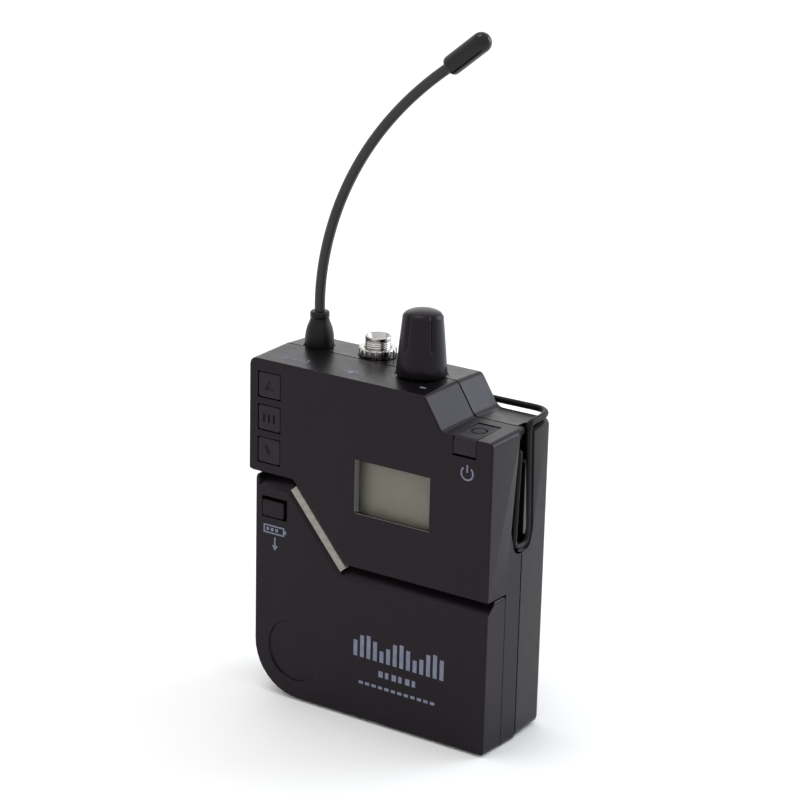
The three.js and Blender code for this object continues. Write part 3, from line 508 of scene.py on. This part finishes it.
def antenna_foot():
    """The flared rubber foot with its collar, turned about the root of the whip."""
    axis = centre_of("antenna_boot")
    flare = half_width("antenna_boot")
    collar = flare - 1.15 * MM
    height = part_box("antenna_boot")[1].z - SEAT
    # Shares of the flare's radius and of the height: the flare, the neck and the collar.
    outline = [
        (0.96, 0), (1.0, 0.05), (1.0, 0.18), (0.985, 0.3), (0.94, 0.43), (0.86, 0.56),
        (0.76, 0.66), (0.68, 0.74), (0.64, 0.8), (0.64, 0.825),
        (0.655, 0.84), (0.66, 0.87), (0.66, 0.945), (0.64, 0.975), (0.59, 0.995),
        (0.52, 1.0), (0.4, 1.0),
    ]
    rows = [(collar * 0.4, SEAT)] + [(flare * reach, SEAT + height * up) for reach, up in outline]
    vertices, faces = turned(rows, axis, 64)
    piece("antenna_foot", vertices, faces, BODY_OF["antenna_boot"], foot_rubber, ["antenna_boot"], angle=48)


# Where the whip's curve steers and ends, along X and Z from its root.
WHIP_STEERING = [Vector((x, 0, z)) * MM for x, z in ((0, 0), (0, 0.8), (-2.6, 34.1), (33, 59.5))]
WHIP_RADIUS = 1.2 * MM
WHIP_ROOT = centre_of("antenna_boot")
WHIP_ROOT.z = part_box("antenna_boot")[1].z + 0.1 * MM


def whip():
    """One bending whip in place of the two stiff lengths."""
    steps = 90
    curve = [WHIP_ROOT + bezier(*WHIP_STEERING, k / steps) for k in range(steps + 1)]
    in_foot = [WHIP_ROOT - Vector((0, 0, depth * MM)) for depth in (4, 2)]
    vertices, faces = tube(in_foot + curve, WHIP_RADIUS, 20)
    whip_piece = piece("whip", vertices, faces, None, whip_rubber, ["whip_lower", "whip_upper"], angle=60)
    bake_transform(whip_piece)


def antenna_end():
    """The glossy moulded end of the whip: a round sleeve with a domed end."""
    start = WHIP_ROOT + WHIP_STEERING[3]
    lean = math.radians(51.5)  # from upright, where the whip ends
    along = Vector((math.sin(lean), 0, math.cos(lean)))
    across = Vector((-math.cos(lean), 0, math.sin(lean)))
    radius = 2.3 * MM
    length = 12 * MM
    # Shares of the radius, and heights along the end.
    rows = [(0.4, 0), (0.78, 0), (0.9, 0.08 * MM), (0.97, 0.35 * MM), (1.0, 0.9 * MM)]
    rows += [(1.0, 4 * MM), (1.0, length - radius - 1.2 * MM)]
    for step in range(9):
        angle = math.radians(11 * step)
        rows.append((math.cos(angle), length - radius + radius * math.sin(angle)))
    vertices = []
    sides = 40
    for reach, height in rows:
        for k in range(sides):
            angle = 2 * math.pi * k / sides
            outward = across * math.cos(angle) + Vector((0, 1, 0)) * math.sin(angle)
            vertices.append(start + along * height + outward * radius * reach)
    faces = grid_faces(len(rows), sides)
    piece("antenna_end", vertices, faces, "antenna", tip_plastic, ["antenna_tip"], angle=50)


antenna_foot()
whip()
antenna_end()

# ---------- Belt clip ----------

WIRE_RADIUS = 0.75 * MM
ELBOW = PIVOT_OF["belt_clip_swing"]


def belt_clip():
    """One bent wire: a hairpin in each side slot, both elbows and the tongue behind the back."""
    spring_low, spring_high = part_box("clip_spring_right")
    low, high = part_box("clip_tongue")
    reach = centre_of("clip_spring_right").x - ELBOW.x
    front = spring_low.y + WIRE_RADIUS
    foot = spring_low.z + WIRE_RADIUS
    back = high.y - WIRE_RADIUS
    run = high.z - WIRE_RADIUS
    half_tongue = 9 * MM
    free_end = Vector((reach, front + 1.1 * MM, spring_high.z - 4.7 * MM))
    half = [
        free_end,
        Vector((reach, front, foot)),
        Vector((reach, front + 5.75 * MM, foot)),
        Vector((reach, ELBOW.y, ELBOW.z)),
        Vector((reach, back, run)),
        Vector((half_tongue, back, run - 0.15 * MM)),
        Vector((half_tongue, back, low.z + WIRE_RADIUS)),
    ]
    corners = half + [Vector((-c.x, c.y, c.z)) for c in reversed(half)]
    for corner in corners:
        corner.x += ELBOW.x
    bends = [length * MM for length in (2.7, 2.7, 1.7, 4.8, 5, 8)]
    vertices, faces = tube(bent_path(corners, bends + bends[::-1]), WIRE_RADIUS)
    nodes = ["clip_tongue", "clip_spring_left", "clip_spring_right"]
    clip = piece("clip_wire", vertices, faces, None, clip_steel, nodes, angle=60)
    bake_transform(clip)


belt_clip()

# ---------- Printed and lit marks ----------

INK = 0.03 * MM  # how far a mark stands out of its panel
INK_ROOT = 0.3 * INK  # how far it reaches into the panel


def flat_marks(name, outlines, place, body, material=None):
    """Thin raised shapes. place(u, v, height) puts a point of an outline on its panel."""
    vertices = []
    faces = []
    for outline in outlines:
        start = len(vertices)
        count = len(outline)
        for height in (-INK_ROOT, INK):
            vertices += [place(u, v, height) for u, v in outline]
        faces.append(tuple(range(start, start + count)))
        faces.append(tuple(range(start + count, start + 2 * count)))
        for k in range(count):
            after = (k + 1) % count
            faces.append((start + k, start + after, start + count + after, start + count + k))
    piece(name, vertices, faces, body, material or print_ink)


def on_front(u, v, height):
    return (u, FRONT - height, v)


def on_top(u, v, height):
    """On the tall top, which rises towards the seam."""
    return (u, v, SEAT + DRAFT * (v - FRONT) / (SEAM - FRONT) + height)


def bar(u, v, width, height):
    """A rectangle whose lower left corner is at (u, v)."""
    return [(u, v), (u + width, v), (u + width, v + height), (u, v + height)]


def arc_band(u, v, radius, stroke, start, end):
    """A curved stroke round (u, v), from one angle to another in degrees."""
    steps = max(4, round(abs(end - start) / 12))
    outer = (radius + stroke / 2, range(steps + 1))
    inner = (radius - stroke / 2, range(steps, -1, -1))
    outline = []
    for reach, order in (outer, inner):
        for k in order:
            angle = math.radians(start + (end - start) * k / steps)
            outline.append((u + reach * math.cos(angle), v + reach * math.sin(angle)))
    return outline


def oval(u, v, wide, tall, sides):
    """An ellipse round (u, v), with half axes wide and tall."""
    angles = [2 * math.pi * k / sides for k in range(sides)]
    return [(u + wide * math.cos(angle), v + tall * math.sin(angle)) for angle in angles]


def power_sign():
    """A broken ring with an upright stroke, below the power key."""
    low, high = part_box("power_key")
    u = (low.x + high.x) / 2 + 1.1 * MM
    v = low.z - 3.6 * MM
    line = 0.38 * MM
    ring = arc_band(u, v, 1.48 * MM, line, 130, 410)
    stroke = bar(u - line / 2, v + 0.2 * MM, line, 1.7 * MM)
    flat_marks("power_sign", [ring, stroke], on_front, "root")


def door_signs():
    """A battery and an arrow that points the way the door slides, below the latch."""
    low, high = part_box("door_latch")
    middle = (low.x + high.x) / 2
    foot = low.z - 2.7 * MM
    left, right = middle - 3.2 * MM, middle + 2.6 * MM
    tall = 2.1 * MM
    line = 0.34 * MM
    battery = [
        bar(left, foot, right - left, line),
        bar(left, foot + tall - line, right - left, line),
        bar(left, foot + line, line, tall - 2 * line),
        bar(right - line, foot + line, line, tall - 2 * line),
        bar(right, foot + tall * 0.3, 0.5 * MM, tall * 0.4),
    ]
    for k in range(3):
        cell = left + (0.8 + 1.25 * k) * MM
        battery.append(bar(cell, foot + 2 * line, 0.75 * MM, tall - 4 * line))
    tip = foot - 3.9 * MM
    arrow = [
        bar(middle - 0.2 * MM, tip + 1.2 * MM, 0.4 * MM, 2 * MM),
        [(middle, tip), (middle + 0.85 * MM, tip + 1.25 * MM), (middle - 0.85 * MM, tip + 1.25 * MM)],
    ]
    flat_marks("door_signs", battery + arrow, on_front, "door")


def door_emblem():
    """A plain row of level bars over a row of dots and a broken line."""
    door_low, door_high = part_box("battery_door")
    left = (door_low.x + door_high.x) / 2 - 3.5 * MM
    foot = door_low.z + 15.4 * MM
    bars = []
    for k in range(14):
        tall = (2.2 + 3.4 * abs(math.sin(0.62 * k + 0.5))) * MM
        bars.append(bar(left + 1.78 * k * MM, foot, 1.05 * MM, tall))
    flat_marks("level_bars", bars, on_front, "door")
    dots = []
    for k in range(6):
        wide = (1.2 - 0.3 * (k % 2)) * MM
        dots.append(bar(left + (6.9 + 1.8 * k) * MM, foot - 3.6 * MM, wide, 1.5 * MM))
    dashes = []
    for k in range(12):
        dashes.append(bar(left + (1.6 + 1.75 * k) * MM, foot - 6.5 * MM, 1.15 * MM, 0.7 * MM))
    flat_marks("small_marks", dots + dashes, on_front, "door")


def top_signs():
    """Radio waves by the antenna, a microphone by its socket and two small marks at the knob."""
    line = 0.34 * MM
    v = FRONT + 3.7 * MM
    u = centre_of("antenna_boot").x + 2 * MM
    waves = [oval(u, v + 0.3 * MM, 0.4 * MM, 0.4 * MM, 16)]
    for radius in (1.2 * MM, 2.2 * MM, 3.1 * MM):
        waves.append(arc_band(u, v + 0.3 * MM, radius, line, -26, 26))
        waves.append(arc_band(u, v + 0.3 * MM, radius, line, 154, 206))
    u = centre_of("mic_jack_nut").x + 1.7 * MM
    capsule = arc_band(u + 0.5 * MM, v + 0.4 * MM, 0.45 * MM, 0.8 * MM, 0, 360)
    microphone = [
        capsule,
        bar(u - 2.2 * MM, v + 0.2 * MM, 2.1 * MM, 0.4 * MM),
        arc_band(u + 0.5 * MM, v + 0.4 * MM, 1.35 * MM, line, -75, 75),
        bar(u + 1.9 * MM, v + 0.25 * MM, 0.7 * MM, line),
    ]
    u = centre_of("gain_knob").x
    dash = bar(u - 3.2 * MM, v + 0.4 * MM, 0.9 * MM, 0.25 * MM)
    flat_marks("top_signs", waves + microphone + [dash], on_top, "root")
    mark = oval(u + 5.4 * MM, v + 0.8 * MM, 0.84 * MM, 0.42 * MM, 18)
    flat_marks("knob_mark", [mark], on_top, "root")


def window_edge():
    """The window's moulded edge on its left and lower sides, pale as a painted highlight, and a strip of painted
    shade beside it.
    """
    low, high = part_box("lcd_window")
    rim = 0.7 * MM
    line = 0.13 * MM
    bend = 0.15 * MM
    inner_bend = line + 0.12 * MM
    sunk = 0.12 * MM
    left, foot = low.x + rim, low.z + rim
    right, top = high.x - rim, high.z - rim
    corner = 0.5 * MM
    outer = [(left, top), (left, foot + corner), (left + bend, foot + bend)]
    outer += [(left + corner, foot), (right, foot)]
    inner = [(right, foot + line), (left + corner, foot + line)]
    inner += [(left + inner_bend, foot + inner_bend)]
    inner += [(left + line, foot + corner), (left + line, top)]

    def place(u, v, height):
        return (u, FRONT + sunk - height * 4, v)

    # The edge is drawn pale grey, a painted highlight where its bevel catches light.
    flat_marks("window_edge", [outer + inner], place, "root", edge_painted_highlight)
    # A dark strip beside the edge: painted shade, where the window's rim shades the display.
    shade = bar(left + line, foot + corner, 1.05 * MM, top - foot - corner)
    flat_marks("window_painted_shadow", [shade], place, "root", painted_shade_material)


power_sign()
door_signs()
door_emblem()
top_signs()
window_edge()

# ---------- Inner pieces and fasteners ----------

INNER = {
    plain_tin: [
        "key_switch_1", "key_switch_2", "key_switch_3", "power_switch", "rf_shield", "gain_pot",
        "pot_shaft", "spring_lower", "spring_upper", "contact_bridge", "contact_negative",
        "contact_positive",
    ],
    warm_brass: ["antenna_socket"],
    board_resist: ["main_board"],
    seal_rubber: ["lcd_frame", "key_mat"],
    cell_sleeve: ["battery_1", "battery_2"],
    casing_plastic: ["battery_tray"],
    window_plastic: ["status_led"],
    clip_steel: ["case_screw_1", "case_screw_2", "case_screw_3", "case_screw_4"],
}
for material, nodes in INNER.items():
    for node in nodes:
        mesh = frame["nodes"][node].data
        mesh.materials.clear()
        mesh.materials.append(material)

# ---------- Camera ----------

CAMERA_AZIMUTH = math.radians(33.804)
CAMERA_ELEVATION = math.radians(17.928)
CAMERA_ROLL = math.radians(1.392)
CAMERA_DISTANCE = 0.58338
CAMERA_AIM = Vector((-0.004185, 0.005999, 0.070666))
LENS = 117.05
SENSOR = 36.0
NEAREST = 0.01  # the camera sees nothing closer than this


def add_camera():
    """The camera looks at its aim from its azimuth and elevation, turned a little by its roll."""
    level = math.cos(CAMERA_ELEVATION)
    back = Vector((
        math.sin(CAMERA_AZIMUTH) * level,
        -math.cos(CAMERA_AZIMUTH) * level,
        math.sin(CAMERA_ELEVATION),
    ))
    right = (-back).cross(Vector((0, 0, 1))).normalized()
    up = right.cross(-back)
    tilt = Matrix.Rotation(CAMERA_ROLL, 3, -back)
    right, up = tilt.inverted() @ right, tilt.inverted() @ up
    data = bpy.data.cameras.new("camera")
    data.lens = LENS
    data.sensor_width = SENSOR
    data.clip_start = NEAREST
    camera = bpy.data.objects.new("camera", data)
    bpy.context.collection.objects.link(camera)
    turn = Matrix((right, up, back)).transposed()
    camera.matrix_world = Matrix.Translation(CAMERA_AIM + back * CAMERA_DISTANCE) @ turn.to_4x4()
    bpy.context.scene.camera = camera


add_camera()

# ---------- Floor and light ----------

LIGHT_AIM = Vector((0, 0, 0.06))  # inside the pack, near its middle


def add_floor():
    """A wide sheet of pale paper."""
    reach = 4.0
    corners = [(-reach, -reach, 0), (reach, -reach, 0), (reach, reach, 0), (-reach, reach, 0)]
    mesh = bpy.data.meshes.new("floor")
    mesh.from_pydata(corners, [], [(0, 1, 2, 3)])
    floor = bpy.data.objects.new("floor", mesh)
    bpy.context.collection.objects.link(floor)
    paper = surface("floor_paper", grey(0.92), grey(0.94), (0.8, 0.9), (400, 0.00001), patch=8)
    mesh.materials.append(paper)


def add_softbox(name, direction, distance, size, radiance, colour=(1, 1, 1)):
    """A square soft light that faces the object, so bright that its face has this radiance."""
    data = bpy.data.lights.new(name, "AREA")
    data.color = colour
    data.shape = "SQUARE"
    data.size = size
    data.energy = radiance * size * size * math.pi
    lamp = bpy.data.objects.new(name, data)
    bpy.context.collection.objects.link(lamp)
    away = Vector(direction).normalized()
    lamp.location = LIGHT_AIM + away * distance
    lamp.rotation_mode = "QUATERNION"
    lamp.rotation_quaternion = away.to_track_quat("Z", "Y")
    lamp.visible_camera = False


def add_world():
    world = bpy.data.worlds.new("studio")
    world.use_nodes = True
    sky = world.node_tree.nodes["Background"]
    sky.inputs["Color"].default_value = (1, 1, 1, 1)
    sky.inputs["Strength"].default_value = 1.0
    bpy.context.scene.world = world


add_floor()
add_world()
add_softbox("softbox_back_right", (0.54, 0.76, 0.36), 0.9, 0.55, 3.4, (0.8, 0.92, 1.0))
add_softbox("softbox_back_left", (-0.53, 0.79, 0.33), 1.0, 0.6, 0.55)
add_softbox("softbox_top", (-0.2, -0.1, 1.0), 1.1, 0.5, 3.0)
bpy.context.scene.view_settings.view_transform = "Standard"
